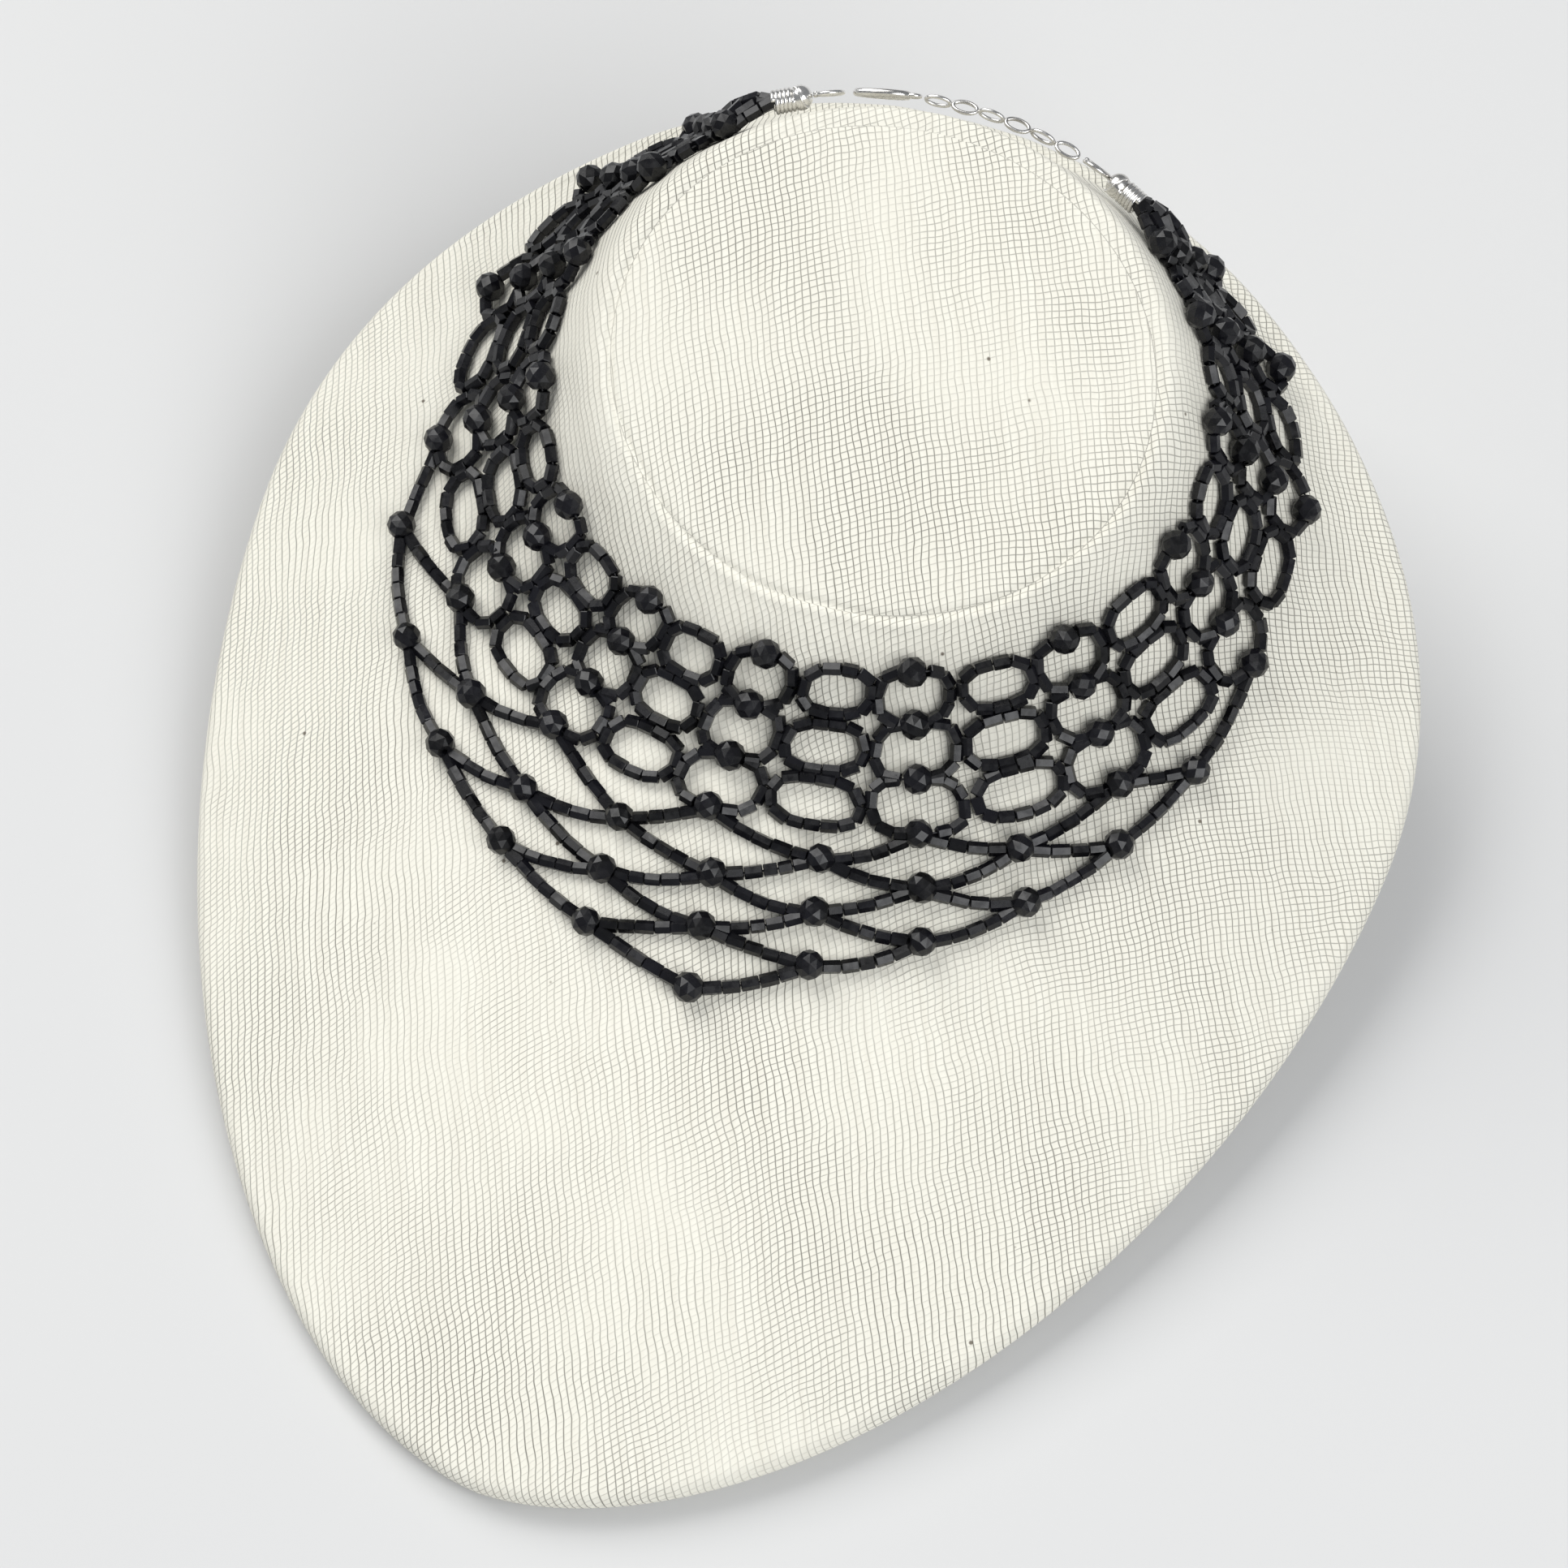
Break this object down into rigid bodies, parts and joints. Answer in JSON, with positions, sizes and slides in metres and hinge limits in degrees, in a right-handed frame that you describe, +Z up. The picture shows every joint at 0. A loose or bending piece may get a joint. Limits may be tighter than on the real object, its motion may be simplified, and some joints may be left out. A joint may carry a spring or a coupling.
{
  "type": "netted bead choker necklace on a neck bust",
  "caption": "Black glass bead choker netted in rounded loops with a pointed bib, silver fittings behind, shown on a low cream linen neck bust.",
  "frame": {"origin": "centre of the bounding box in plan, on the floor plane that the bust stands on", "axes": "+Z up, +Y towards the back of the neck, -Y towards the tip of the bust, +X to the right of someone who faces the front"},
  "size_m": [0.2142, 0.2453, 0.0916],
  "materials": {
    "linen": "coarse cream linen canvas with a plain weave and small dark slubs",
    "black_glass": "glossy opaque black faceted glass beads",
    "silver": "bright silver-plated wire and fittings"
  },
  "bodies": {
    "root": {"bust_form": "linen", "display_foot": "linen", "net_front": "black_glass", "net_left_wing": "black_glass", "net_right_wing": "black_glass", "bib_front": "black_glass", "end_cap_left": "silver", "end_cap_right": "silver", "jump_ring_left": "silver", "jump_ring_right": "silver", "closure_chain": "silver", "clasp": "silver"}
  },
  "joints": []
}
